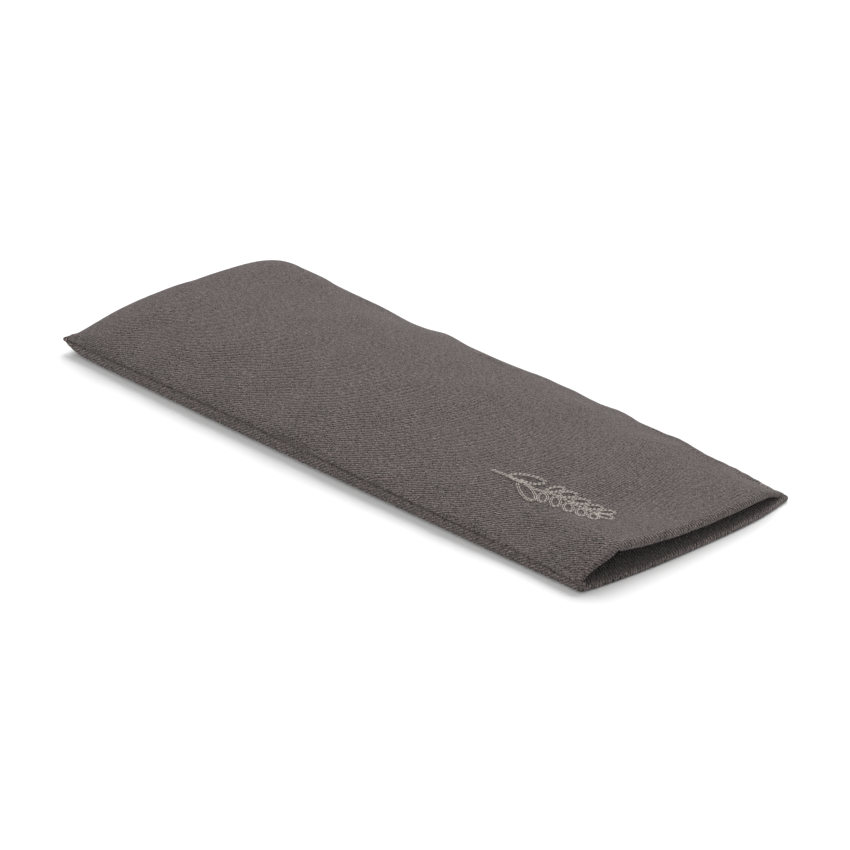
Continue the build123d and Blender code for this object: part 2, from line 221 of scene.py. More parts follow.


# %% [markdown]
# ## The top panel's surface
# The height over the seam is the crown's rise times the superellipse. Soft spots are added for what the
# filling and the sewing do: dents and small folds where the cloth is drawn down along the left side, and
# shallow waves on the right. Towards the mouth the surface goes over to the lip's heights, and beside the
# right crease the lip stands out a little.


# %% Top panel surface
LIP_REACH = 46.0  # how far from the mouth the lip's shape is felt
LIP_PUSH, PUSH_Y = 1.3, -33.0  # how far the lip stands out, and where
DENTS = (  # centre x, centre y, height, long reach, short reach, turn: all mm and degrees
    (-86.0, 32.0, 1.4, 16.0, 10.0, 0.0),
    (-50.0, 37.0, -1.7, 22.0, 8.0, 0.0),
    (-53.0, 31.0, 0.5, 9.0, 1.6, -4.0),
    (-8.0, 38.0, -1.3, 22.0, 6.0, 0.0),
    (4.0, 31.5, 0.9, 13.0, 1.6, -3.0),
    (7.0, 34.6, -0.9, 14.0, 1.7, -3.0),
    (66.0, 38.0, -2.2, 24.0, 8.0, 0.0),
    (42.0, 28.0, 0.5, 12.0, 3.0, -5.0),
    (-60.0, -30.0, 0.3, 26.0, 9.0, 0.0),
    (40.0, -36.0, -0.5, 44.0, 8.0, 2.0),
    (20.0, 4.0, 0.4, 30.0, 14.0, 20.0),
)


def top_point(d, angle):
    """(x, y, z) of the top panel's outer face, d from the sewn end and at that angle across."""
    left = smooth_step(np.sin(angle), -0.3, 0.6)
    power = 1.75 + left * (0.4 + 1.5 * np.exp(-d / 38.0))
    across, up = superellipse(angle, power)
    near_mouth = smooth_step(d, LENGTH - LIP_REACH, LENGTH - 5)
    across = across + near_mouth * (angle * 2 / np.pi - across)
    seam = seam_height(d, across)
    y = half_width(d) * across
    stretch = (mouth_x(across) - top_lip_radius(y) - X_END) / LENGTH
    x = X_END + d * (1 + (stretch - 1) * (d / LENGTH) ** 4)
    z = seam + crown_rise(d) * up
    inner = smooth_step(up, 0.0, 0.45)
    for cx, cy, height, long, short, turn in DENTS:
        z = z + inner * height * soft_spot(x, y, (cx, cy), (long, short), turn)
    z = z + near_mouth * (np.maximum(lip_height(y), seam) - z)
    push = smooth_step(d, LENGTH - 12, LENGTH) * soft_spot(0 * y, y, (0, PUSH_Y), (1, 4.5))
    x = x + LIP_PUSH * push
    x, y = sewn_edges(x, y, z, d, across, seam, 0.0)
    return np.stack([x, y, z], -1)


# %% [markdown]
# ## The bottom panel's surface
# The bottom panel lies flat on the floor and turns up to the seam almost at a right angle. That is a
# much boxier superellipse. Near the sewn end the underside rounds up, so the corners stand off the
# floor.


# %% Bottom panel surface
def bottom_point(d, angle):
    """(x, y, z) of the bottom panel's outer face; angle 0 is the middle of the underside."""
    across, down = superellipse(angle, 13.0)
    seam = seam_height(d, across)
    y = half_width(d) * across
    stretch = (mouth_x(across) + 0.9 - LOWER_LIP - X_END) / LENGTH
    x = X_END + d * (1 + (stretch - 1) * (d / LENGTH) ** 4)
    z = seam * (1 - down * shoulder(d, 8.0))
    z = z + 1.2 * down * np.abs(across) ** 9 * np.exp(-((d / 8.0) ** 2))
    x, y = sewn_edges(x, y, z, d, across, seam, 1.0)
    return np.stack([x, y, z], -1)


# %% [markdown]
# ## From a surface to a closed cloth
# Real cloth has two faces. The outer face is the surface above, the inner face is the same grid moved
# inwards along the normals, and at the mouth both faces turn through a quarter circle and meet, which
# makes the fold. Strips along the other three borders close the shell, so that its volume is real.


# %% Grid helpers
def unit(vectors):
    """Vectors of length 1."""
    return vectors / np.maximum(np.linalg.norm(vectors, axis=-1, keepdims=True), 1e-9)


def grid_normals(grid, flip=False):
    """Unit normals of a grid of points: the cross product of its two directions."""
    normal = unit(np.cross(np.gradient(grid, axis=0), np.gradient(grid, axis=1)))
    return -normal if flip else normal


def grid_faces(rows, columns, first=0, flip=False):
    """Quads of a grid whose vertices are numbered row by row from first."""
    index = first + np.arange(rows * columns).reshape(rows, columns)
    quads = np.stack([index[:-1, :-1], index[1:, :-1], index[1:, 1:], index[:-1, 1:]], -1)
    quads = quads.reshape(-1, 4)
    return quads[:, ::-1] if flip else quads


def strip_faces(a, b, flip=False):
    """Quads between two rows of vertex numbers of the same length."""
    quads = np.stack([a[:-1], b[:-1], b[1:], a[1:]], -1)
    return quads[:, ::-1] if flip else quads


def make_mesh(name, points, faces, uv=None, smooth=True):
    """A mesh object from points in mm, quads, and a UV in mm for every vertex."""
    mesh = bpy.data.meshes.new(name)
    mesh.from_pydata((points * MM).tolist(), [], np.asarray(faces).tolist())
    if uv is not None:
        corners = np.empty(len(mesh.loops), int)
        mesh.loops.foreach_get("vertex_index", corners)
        layer = mesh.uv_layers.new(name="cloth")
        layer.data.foreach_set("uv", (uv[corners] * MM).astype(np.float32).ravel())
    mesh.polygons.foreach_set("use_smooth", [smooth] * len(mesh.polygons))
    mesh.update()
    piece = bpy.data.objects.new(name, mesh)
    bpy.context.scene.collection.objects.link(piece)
    print(f"{name}: {len(points)} vertices, {len(faces)} faces")
    return piece


def shell(name, outer, inner, uv, flip=False):
    """Closed shell between two grids of the same shape; inner faces look the other way."""
    rows, columns = outer.shape[:2]
    count = rows * columns
    index = np.arange(count).reshape(rows, columns)
    faces = [
        grid_faces(rows, columns, 0, flip),
        grid_faces(rows, columns, count, not flip),
        strip_faces(index[0], index[0] + count, not flip),
        strip_faces(index[-1], index[-1] + count, flip),
        strip_faces(index[:, 0], index[:, 0] + count, flip),
        strip_faces(index[:, -1], index[:, -1] + count, not flip),
    ]
    points = np.concatenate([outer.reshape(-1, 3), inner.reshape(-1, 3)])
    return make_mesh(name, points, np.concatenate(faces), np.concatenate([uv, uv]))


# %% [markdown]
# ## Rows and columns
# Rows run along the pillow. Over the rounded end they follow the angle of its quarter ellipse, so that
# they crowd where the surface is steep, and after it they are evenly spaced. Columns run across.


# %% Rows and columns
def row_distances(end_rows, body_rows, run=22.0):
    """Distances from the sewn end: even angles over the rounded end, then even steps."""
    angle = np.linspace(0, np.pi / 2, end_rows, endpoint=False)
    return np.concatenate([run * (1 - np.cos(angle)), np.linspace(run, LENGTH, body_rows)])


def column_angles(count):
    """Directions across a panel, from its right seam to its left seam, crowded at both seams."""
    v = np.linspace(-1, 1, count)
    return np.pi / 2 * (0.35 * v + 0.65 * np.sin(np.pi / 2 * v))


def cloth_uv(grid, mirror=1):
    """UV in mm, as if the cloth lay flat: the way along it, and the way around from its middle."""
    along = np.linalg.norm(np.diff(grid, axis=0, prepend=grid[:1]), axis=-1)
    around = np.linalg.norm(np.diff(grid, axis=1, prepend=grid[:, :1]), axis=-1)
    u = np.cumsum(along, axis=0)
    u = np.broadcast_to(u[:, u.shape[1] // 2][:, None], u.shape)
    v = np.cumsum(around, axis=1)
    v = mirror * (v - v[:, v.shape[1] // 2][:, None])
    return np.stack([u, v], -1).reshape(-1, 2)


# %% [markdown]
# ## Letting the cloth settle
# A sewn cloth is a little longer than the seam that holds it, because the stitches draw the seam
# together, and the spare length shows as soft ripples. Blender's cloth does the same: a coarse copy of
# the panel is pinned along its seams and lip, told to grow by two percent, and pushed out by a light
# pressure. Only the ripples are kept: the broad swelling is taken away and what is left is capped.


# %% Cloth simulation
def blurred(values, passes):
    """Neighbour averages along both directions of a grid, repeated, with the borders held."""
    for _ in range(passes):
        inner = values[:-2, 1:-1] + values[2:, 1:-1] + values[1:-1, :-2] + values[1:-1, 2:]
        values[1:-1, 1:-1] = 0.5 * values[1:-1, 1:-1] + 0.125 * inner
    return values


def ripples(grid, growth, cap, flip=False):
    """Height of the settled cloth's ripples over a coarse grid, along its normals, in mm."""
    rows, columns = grid.shape[:2]
    faces = grid_faces(rows, columns, 0, flip)
    sample = make_mesh("cloth_sample", grid.reshape(-1, 3), faces)
    index = np.arange(rows * columns).reshape(rows, columns)
    border = np.concatenate([index[0], index[-1], index[1:-1, 0], index[1:-1, -1]])
    pins = sample.vertex_groups.new(name="pins")
    pins.add(border.tolist(), 1.0, "REPLACE")
    cloth = sample.modifiers.new("settle", "CLOTH")
    cloth.settings.vertex_group_mass = "pins"
    cloth.settings.quality = 6
    cloth.settings.mass = 0.3
    cloth.settings.tension_stiffness = cloth.settings.compression_stiffness = 20
    cloth.settings.bending_stiffness = 0.6
    cloth.settings.shrink_min = -growth
    cloth.settings.use_pressure = True
    cloth.settings.uniform_pressure_force = 2.0
    cloth.settings.effector_weights.gravity = 0
    scene = bpy.context.scene
    for step in range(1, 21):
        scene.frame_set(step)
    settled = sample.evaluated_get(bpy.context.evaluated_depsgraph_get()).data
    moved = np.empty(rows * columns * 3, np.float32)
    settled.vertices.foreach_get("co", moved)
    moved = moved.reshape(rows, columns, 3) / MM
    height = ((moved - grid) * grid_normals(grid, flip)).sum(-1)
    bpy.data.objects.remove(sample)
    scene.frame_set(1)
    print(f"settled cloth moved up to {np.abs(height).max():.1f} mm")
    height = height - blurred(height.copy(), 60)
    return cap * np.tanh(height / cap)


def on_finer_grid(values, rows, columns, old_rows, old_columns):
    """Values of a coarse grid at finer rows and columns, by interpolation each way."""
    down = np.array([np.interp(rows, old_rows, column) for column in values.T]).T
    return np.array([np.interp(columns, old_columns, row) for row in down])


# %% [markdown]
# ## Settling the top panel
# The coarse copy has 72 rows and 34 columns, which is enough for ripples a centimetre long. Two more
# rounds of averaging take away the marks of its grid.

# %% Settle the top panel
coarse_rows, coarse_columns = row_distances(8, 64), column_angles(34)
coarse_top = top_point(coarse_rows[:, None], coarse_columns[None, :])
top_ripples = blurred(ripples(coarse_top, growth=0.02, cap=0.7), 2)

# %% [markdown]
# ## The top panel
# Its outer face is the surface and the ripples. Towards the mouth the cloth is double, because the
# facing is turned in, and at the lip both faces roll through a quarter circle each.


# %% Build the top panel
def rolled(surface, normal, radius, turns, side):
    """Rows of a fold after the last row: centre + radius (cos a * normal + sin a * forward)."""
    last, n = surface[-1], normal[-1]
    forward = last - surface[-3]
    forward -= (forward * n).sum(-1, keepdims=True) * n
    forward /= np.linalg.norm(forward, axis=-1, keepdims=True)
    centre = last - radius[:, None] * n
    a = turns[:, None, None]
    return centre + radius[:, None] * (side * np.cos(a) * n + np.sin(a) * forward)


def cloth_faces(outer, normal, lip_radius, turns):
    """Outer and inner grids of a panel whose cloth is single, then double, then folded."""
    to_lip = LENGTH - row_distances(END_ROWS, BODY_ROWS)[:, None]
    double = smooth_step(-to_lip, -FACING - 0.6, -FACING + 0.6)
    puffed = 2 * (lip_radius - CLOTH)[None, :] * np.exp(-((to_lip / 4.5) ** 2))
    thickness = CLOTH * (1 + double) + puffed
    inner = outer - thickness[..., None] * unit(blurred(normal.copy(), 12))
    outer_roll = rolled(outer, normal, lip_radius, turns, 1.0)
    inner_roll = rolled(outer, normal, lip_radius, turns, -1.0)
    return np.concatenate([outer, outer_roll]), np.concatenate([inner, inner_roll])


END_ROWS, BODY_ROWS, COLUMNS = 24, 200, 170
FOLD_TURNS = np.linspace(0, np.pi / 2, 7)[1:]
rows, columns = row_distances(END_ROWS, BODY_ROWS), column_angles(COLUMNS)
top_outer = top_point(rows[:, None], columns[None, :])
fine = on_finer_grid(top_ripples, rows, columns, coarse_rows, coarse_columns)
top_outer += fine[..., None] * grid_normals(top_outer)
top_normal = grid_normals(top_outer)
top_faces = cloth_faces(top_outer, top_normal, top_lip_radius(top_outer[-1, :, 1]), FOLD_TURNS)
top_cloth = shell("cover_top_panel", *top_faces, cloth_uv(top_faces[0]))

# %% [markdown]
# ## The bottom panel
# The same two steps make the bottom panel, with its normals the other way. Its UV is mirrored, because
# the cloth goes round the right side without a change of direction in its ribs.

# %% Build the bottom panel
bottom_outer = bottom_point(rows[:, None], columns[None, :])
bottom_normal = grid_normals(bottom_outer, flip=True)
lower_radius = np.full(COLUMNS, LOWER_LIP)
bottom_faces = cloth_faces(bottom_outer, bottom_normal, lower_radius, FOLD_TURNS)
bottom_uv = cloth_uv(bottom_faces[0], mirror=-1)
bottom_cloth = shell("cover_bottom_panel", *bottom_faces, bottom_uv, flip=True)


# %% [markdown]
# ## Colours and nodes
# Colours are given as sRGB hex, as a dyer's card has them, and turned to the linear values that the
# renderer works with. One small function adds a node, sets its values and makes its links.


# %% Material helpers
def linear(code):
    """sRGB hex to linear RGBA: v / 12.92 in the darks, ((v + 0.055) / 1.055)^2.4 above them."""
    value = np.array([int(code[i : i + 2], 16) for i in (0, 2, 4)]) / 255
    value = np.where(value <= 0.04045, value / 12.92, ((value + 0.055) / 1.055) ** 2.4)
    return (*value.tolist(), 1.0)


def node(tree, kind, links=None, **settings):
    """Adds a node; settings are its properties or its input values, links are its input sockets."""
    made = tree.nodes.new(kind)
    for name, value in settings.items():
        if hasattr(made, name):
            setattr(made, name, value)
        else:
            made.inputs[name.replace("_", " ")].default_value = value
    for name, socket in (links or {}).items():
        tree.links.new(socket, made.inputs[name])
    return made


def maths(tree, operation, first, second=None, third=None):
    """One sum on sockets or numbers; returns its result."""
    made = tree.nodes.new("ShaderNodeMath")
    made.operation = operation
    for place, value in enumerate((first, second, third)):
        if value is None:
            continue
        if isinstance(value, (int, float)):
            made.inputs[place].default_value = value
        else:
            tree.links.new(value, made.inputs[place])
    return made.outputs[0]


def mixed(tree, factor, first, second):
    """Colour between two colours or sockets, by a factor socket."""
    made = tree.nodes.new("ShaderNodeMix")
    made.data_type = "RGBA"
    tree.links.new(factor, made.inputs["Factor"])
    for name, value in (("A", first), ("B", second)):
        socket = next(s for s in made.inputs if s.name == name and s.type == "RGBA")
        if isinstance(value, tuple):
            socket.default_value = value
        else:
            tree.links.new(value, socket)
    return next(s for s in made.outputs if s.type == "RGBA")


# %% [markdown]
# ## Brushed cotton twill
# Twill has diagonal ribs, because each warp thread passes over two or three weft threads and the step
# moves on by one. Here the ribs are 0.8 mm apart and lie at 29 degrees to the length. The warp is a warm
# taupe and shows on the ribs; the weft is a cooler grey and shows in the valleys, and the valleys are
# drawn darker still, which is painted shade between the ribs. Cotton yarn is uneven, so noise drawn out
# along the ribs makes lighter and darker threads, and brushing leaves a fuzz that catches light at the
# edges, which is the shader's sheen.


# %% Twill material
RIB_PITCH, RIB_ANGLE = 0.8, 29.0


def cloth_place(tree, turn=0.0, scale=(1.0, 1.0, 1.0)):
    """The cloth's UV in mm, turned by that many degrees and scaled."""
    uv = node(tree, "ShaderNodeUVMap", uv_map="cloth")
    mm = node(tree, "ShaderNodeMapping", {"Vector": uv.outputs[0]}, Scale=(1000, 1000, 1000))
    turn = (0, 0, -np.radians(turn))
    turned = node(tree, "ShaderNodeMapping", {"Vector": mm.outputs[0]}, Rotation=turn)
    return node(tree, "ShaderNodeMapping", {"Vector": turned.outputs[0]}, Scale=scale).outputs[0]


def noise(tree, place, scale, detail=2.0):
    """Value of a noise texture, about 0.5."""
    return node(tree, "ShaderNodeTexNoise", {"Vector": place}, Scale=scale, Detail=detail).outputs[0]


def new_material(name, sheen=0.2, specular=0.25):
    """A material with a matt, slightly fuzzy shader, and its tree and shader."""
    material = bpy.data.materials.new(name)
    material.use_nodes = True
    shader = material.node_tree.nodes["Principled BSDF"]
    shader.inputs["Specular IOR Level"].default_value = specular
    shader.inputs["Sheen Weight"].default_value = sheen
    shader.inputs["Sheen Roughness"].default_value = 0.45
    return material, material.node_tree, shader


def finish_surface(tree, shader, colour, height, depth, roughness):
    """Links colour, roughness and a bump of that depth in mm."""
    bump = node(tree, "ShaderNodeBump", {"Height": height}, Distance=depth * MM, Strength=0.9)
    tree.links.new(bump.outputs[0], shader.inputs["Normal"])
    tree.links.new(colour, shader.inputs["Base Color"])
    tree.links.new(roughness, shader.inputs["Roughness"])


def twill(name, warp, weft_and_valley_shade, slub, depth):
    """A sine across the ribs, wandering a little, with yarns that are lighter and darker."""
    material, tree, shader = new_material(name, sheen=0.2)
    flat = cloth_place(tree)
    turned = cloth_place(tree, RIB_ANGLE)
    place = node(tree, "ShaderNodeSeparateXYZ", {"Vector": turned})
    drift = maths(tree, "MULTIPLY", noise(tree, flat, 0.8), 0.5)
    across = maths(tree, "ADD", place.outputs["Y"], drift)
    phase = maths(tree, "MULTIPLY", across, 2 * np.pi / RIB_PITCH)
    rib = maths(tree, "MULTIPLY_ADD", maths(tree, "SINE", phase), 0.5, 0.5)
    yarn = noise(tree, cloth_place(tree, RIB_ANGLE, (0.6, 1.5, 1.0)), 1.0, 3.0)
    fuzz = noise(tree, flat, 2.1, 2.0)
    blotch = noise(tree, flat, 0.09, 2.0)
    rows = maths(tree, "MULTIPLY", rib, maths(tree, "MULTIPLY_ADD", yarn, 1.2, 0.3))
    # colour between valleys and ribs follows the rib height: the weft's cooler tone plus painted shade in
    # the valleys
    colour = mixed(tree, rows, linear(weft_and_valley_shade), linear(warp))
    uneven = maths(tree, "MULTIPLY_ADD", yarn, slub, 1 - 0.5 * slub)
    uneven = maths(tree, "ADD", uneven, maths(tree, "MULTIPLY_ADD", fuzz, 6.2, -3.1))
    uneven = maths(tree, "ADD", uneven, maths(tree, "MULTIPLY_ADD", blotch, 0.5, -0.25))
    bright = node(tree, "ShaderNodeHueSaturation", {"Color": colour, "Value": uneven})
    height = maths(tree, "ADD", rows, maths(tree, "MULTIPLY", fuzz, 0.5))
    rough = maths(tree, "MULTIPLY_ADD", rib, -0.08, 0.94)
    finish_surface(tree, shader, bright.outputs[0], height, depth, rough)
    return material


# 433d3b is the valleys' colour: the weft's cooler grey, darkened as painted shade between the ribs
cover_twill = twill("brushed_cotton_twill", "6f615e", "433d3b", slub=2.6, depth=0.6)
for cloth in (top_cloth, bottom_cloth):
    cloth.data.materials.append(cover_twill)
    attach(cloth, "cover")
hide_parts("top_panel")
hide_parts("bottom_panel")
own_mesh(top_cloth)

# %% [markdown]
# ## Thread
# Every stitch is a short length of thread that comes up through the cloth, runs over it and goes down
# again. One grid makes it: along it the thread arches and thins to nothing at both ends, and around it
# there are six sides. All stitches of a row are made together, as one array.


# %% Stitch helper
SIDES, STATIONS = 6, 5


def stitches(name, centres, directions, normals, length, width, arch=0.15):
    """Closed arched threads: centre + t * direction + (1 - t^2) * arch * normal, t from -1 to 1."""
    directions, count = unit(directions), len(centres)
    sideways = unit(np.cross(normals, directions))
    upwards = np.cross(directions, sideways)
    t = np.linspace(-1, 1, STATIONS)[None, :, None, None]
    a = np.arange(SIDES) * 2 * np.pi / SIDES
    a = a[None, None, :, None]
    length = np.broadcast_to(np.asarray(length, float), (count,))[:, None, None, None]
    radius = width / 2 * np.sqrt(1.06 - t**4)
    spine = centres[:, None, None] + t * length / 2 * directions[:, None, None]
    spine = spine + (1 - t * t) * arch * upwards[:, None, None]
    ring = np.cos(a) * sideways[:, None, None] + np.sin(a) * upwards[:, None, None]
    points = (spine + radius * ring).reshape(-1, 3)
    local = np.arange(STATIONS * SIDES).reshape(STATIONS, SIDES)
    around = np.roll(local, -1, axis=1)
    walls = np.stack([local[:-1], around[:-1], around[1:], local[1:]], -1).reshape(-1, 4)
    first, last = local[0], local[-1]
    caps = np.array([first[[3, 2, 1, 0]], first[[0, 5, 4, 3]], last[[0, 1, 2, 3]], last[[0, 3, 4, 5]]])
    pattern = np.concatenate([walls, caps])
    faces = (np.arange(count)[:, None, None] * STATIONS * SIDES + pattern).reshape(-1, 4)
    along = np.broadcast_to(t * length / 2, (count, STATIONS, SIDES, 1))
    turned = np.broadcast_to(a * width / 2, (count, STATIONS, SIDES, 1))
    return make_mesh(name, points, faces, np.concatenate([along, turned], -1).reshape(-1, 2))


def on_cloth(grid, normals, x, y):
    """Points and normals of a cloth's face above places in plan, from its nearest vertex."""
    flat_grid, flat_normals = grid.reshape(-1, 3), normals.reshape(-1, 3)
    gap = (flat_grid[None, :, 0] - x[:, None]) ** 2 + (flat_grid[None, :, 1] - y[:, None]) ** 2
    nearest = gap.argmin(1)
    p, n = flat_grid[nearest], flat_normals[nearest]
    z = p[:, 2] - (n[:, 0] * (x - p[:, 0]) + n[:, 1] * (y - p[:, 1])) / np.maximum(n[:, 2], 0.2)
    return np.stack([x, y, z], -1), n


# %% [markdown]
# ## Thread material
# Sewing thread is two or three yarns twisted together, so slanting bands run round it: painted highlight
# where a yarn faces out and painted shade between the yarns. Polyester thread has a soft shine, which is
# a lower roughness than the cotton's.


# %% Thread material
def thread(name, light, dark, roughness, pitch=0.35, specular=0.4):
    """Slanting bands from the UV, a sine of the way along and the way around, painted as highlight and
    shade.
    """
    material, tree, shader = new_material(name, sheen=0.1, specular=specular)
    place = node(tree, "ShaderNodeSeparateXYZ", {"Vector": cloth_place(tree)})
    slant = maths(tree, "MULTIPLY_ADD", place.outputs["Y"], 1.0, place.outputs["X"])
    twist_highlight_and_shade = maths(tree, "SINE", maths(tree, "MULTIPLY", slant, 2 * np.pi / pitch))
    twist_highlight_and_shade = maths(tree, "MULTIPLY_ADD", twist_highlight_and_shade, 0.5, 0.5)
    fibre = noise(tree, cloth_place(tree), 4.0)
    share = maths(tree, "MULTIPLY", twist_highlight_and_shade, maths(tree, "ADD", fibre, 0.5))
    # painted highlight on the yarns that face out and painted shade between them, with uneven fibres
    colour = mixed(tree, share, linear(dark), linear(light))
    rough = maths(tree, "MULTIPLY_ADD", fibre, 0.2, roughness)
    finish_surface(tree, shader, colour, share, 0.06, rough)
    return material


def dress(piece, material, body, slot_name, *nodes):
    """Gives a piece its material and body and hides the CAD nodes that it stands for; slot_name is not
    used.
    """
    piece.data.materials.append(material)
    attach(piece, body)
    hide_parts(*nodes)
    return piece


def flatten(piece):
    """Gives the piece its own copy of its mesh."""
    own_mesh(piece)


# each thread's lighter colour is painted highlight on its yarns, its darker one painted shade between them
cover_thread = thread("grey_sewing_thread", "8d837f", "4a4441", 0.5)
floss = thread("pale_embroidery_thread", "cdc4bc", "8a817b", 0.42, pitch=0.5)

# %% [markdown]
# ## Room under the cloth
# What is inside the cover is pushed down where the cover is low, as cloth does near the mouth. The
# height of the top face over a place is read from its nearest row and column.


# %% Room under the top panel
def under_roof(x, y, z, room=1.4):
    """z, or less where the cover's top face stands less than that room above it."""
    row = np.clip(np.searchsorted(top_outer[:, COLUMNS // 2, 0], x), 0, len(top_outer) - 1)
    column = np.abs(top_outer[row, :, 1] - y[..., None]).argmin(-1)
    return np.minimum(z, top_outer[row, column, 2] - room)


# %% [markdown]
# ## Seam allowances and their threads
# Inside the cover, the raw edges of both panels stand 6.6 mm in from the seam. A straight row of
# lockstitch joins the panels just behind the groove, and a second machine wraps thread over the raw edges
# to stop them fraying. Both rows are hidden once the cover is turned right side out.


# %% Build the seam allowances
ALLOWANCE_ROOM = 2.2  # from the top face down to the middle of the allowances
ALLOWANCE_INSETS = np.linspace(2.4, 6.6, 6)  # from the seam in to the raw edges
LOCK_INSET, WRAP_INSET = 3.0, 6.0  # places of the two rows of stitches
THREAD_WIDTH = 0.3  # of the cover's sewing thread


def edge_line(side, inset, places):
    """Points along a long side's seam, that far in from it."""
    d = places - X_END
    y = side * (half_width(d) - inset)
    z = under_roof(places, y, seam_height(d, np.full_like(d, side)), ALLOWANCE_ROOM)
    return np.stack([places, y, z], -1)


def end_line(inset, places):
    """Points along the sewn end's seam, that far in from it."""
    return np.stack([X_END + inset + 0 * places, places, seam_height(inset + 0 * places, 0)], -1)


side_places = np.arange(X_END + 8, X_MOUTH - 16, STITCH_PITCH)
end_places = np.arange(-36.0, 36.1, STITCH_PITCH)
seams = (
    ("right_side", lambda inset: edge_line(-1, inset, side_places), (1, 0, 0), (0, 1, 0)),
    ("left_side", lambda inset: edge_line(1, inset, side_places), (1, 0, 0), (0, -1, 0)),
    ("closed_end", lambda inset: end_line(inset, end_places), (0, 1, 0), (1, 0, 0)),
)
up = np.array([0.0, 0.0, 1.0])
for place, line, run, inwards in seams:
    strip = np.stack([line(inset) for inset in ALLOWANCE_INSETS], 1)
    upper, lower = strip + CLOTH * up, strip - CLOTH * up
    flip = place != "right_side"
    allowance = shell(f"cover_{place}_allowance", upper, lower, cloth_uv(upper), not flip)
    allowance.data.materials.append(cover_twill)
    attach(allowance, "cover")
    row = line(LOCK_INSET)
    runs, ins = (np.broadcast_to(np.array(v, float), row.shape) for v in (run, inwards))
    lock = stitches(f"{place}_lockstitch", row + 0.85 * up, runs, 0 * row + up, 3.8, THREAD_WIDTH)
    dress(lock, cover_thread, "cover", "cover_thread", f"{place}_seam_thread")
    row = np.repeat(line(WRAP_INSET), 2, axis=0)
    row[1::2] += STITCH_PITCH / 2 * np.array(run)
    ins = np.repeat(ins, 2, axis=0) + 0.5 * np.repeat(runs, 2, axis=0)
    wrap = stitches(f"{place}_overlock", row + 0.85 * up, ins, 0 * row + up, 2.6, THREAD_WIDTH)
    dress(wrap, cover_thread, "cover", "cover_thread", f"{place}_overlock_thread")

# %% [markdown]
# ## Hem stitches
# The facings at the mouth are held by blind stitches, small slanting stitches that catch only the inner
# layer of cloth, so nothing shows outside. They sit on the inside of each panel.

# %% Build the hem stitches
HEM_DEPTH = 1.75  # from a panel's outer face to the stitches on its doubled cloth
hem_y = np.arange(-36.0, 36.1, 6.0)
hem_x = np.full_like(hem_y, X_MOUTH - FACING + 0.6)
slant = np.broadcast_to(np.array([1.0, 0.45, 0.0]), (len(hem_y), 3))
p, n = on_cloth(top_outer, top_normal, hem_x, hem_y)
top_hem = stitches("top_hem_stitches", p - HEM_DEPTH * n, slant, -n, 2.4, THREAD_WIDTH)
dress(top_hem, cover_thread, "cover", "cover_thread", "top_hem_thread")
p, n = np.stack([hem_x, hem_y, 0 * hem_y + HEM_DEPTH], -1), np.broadcast_to(up, (len(hem_y), 3))
bottom_hem = stitches("bottom_hem_stitches", p, slant, n, 2.4, THREAD_WIDTH)
dress(bottom_hem, cover_thread, "cover", "cover_thread", "bottom_hem_thread")
flatten(top_hem)

# %% [markdown]
# ## The embroidered sprig
# A sprig of lavender is sewn near the mouth in outline: a curved stem, two leaves and pairs of buds.
# Each line is two rows of small stitches side by side. A leaf or bud is an ellipse, set at an angle on
# the stem. The lines are cut into steps of equal length, with one stitch for every step, and each
# stitch is laid on the top panel with that panel's own normal.

# %% Build the embroidery
MOTIF, MOTIF_TILT, STITCH_STEP, ROW_GAP = np.array([80.0, -19.5]), np.radians(4), 1.25, 0.55


def ellipse(centre, angle, a, b):
    """Closed outline: a cos t along the angle, b sin t across it."""
    t, turn = np.linspace(0, 2 * np.pi, 73), np.radians(angle)
    x, y = a * np.cos(t), b * np.sin(t)
    return np.stack(
        [
            centre[0] + x * np.cos(turn) - y * np.sin(turn),
            centre[1] + x * np.sin(turn) + y * np.cos(turn),
        ],
        -1,
    )


def stem_height(x):
    """The stem's slow wave."""
    return 1.6 * np.sin(np.radians(3.2 * x))


stem_x = np.linspace(-21, 17, 60)
lines = [np.stack([stem_x, stem_height(stem_x)], -1), ellipse((19, stem_height(19.0)), 0, 2.6, 1.4)]
for x, rise, angle, a, b in ((-10, 2.3, 26, 5.2, 1.7), (-6.5, -2.3, -26, 5.2, 1.7)):
    lines.append(ellipse((x, stem_height(x) + rise), angle, a, b))
for i in range(5):
    x = -2 + 4.4 * i
    for side in (1, -1):
        lines.append(ellipse((x + 1.6, stem_height(x) + 2.7 * side), 48 * side, 2.5, 1.35))


def stitch_line(line, offset, shift):
    """Middles and directions of equal steps along a line moved sideways by offset."""
    step = np.diff(line, axis=0)
    reach = np.concatenate([[0], np.cumsum(np.linalg.norm(step, axis=1))])
    count = max(3, round(reach[-1] / STITCH_STEP))
    at = (np.arange(count) + 0.5 + shift) * reach[-1] / (count + shift)
    middle = np.stack([np.interp(at, reach, line[:, k]) for k in (0, 1)], -1)
    ahead = np.stack([np.interp(at + 0.2, reach, line[:, k]) for k in (0, 1)], -1)
    behind = np.stack([np.interp(at - 0.2, reach, line[:, k]) for k in (0, 1)], -1)
    direction = unit(ahead - behind)
    return middle + offset * direction[:, ::-1] * np.array([-1, 1]), direction


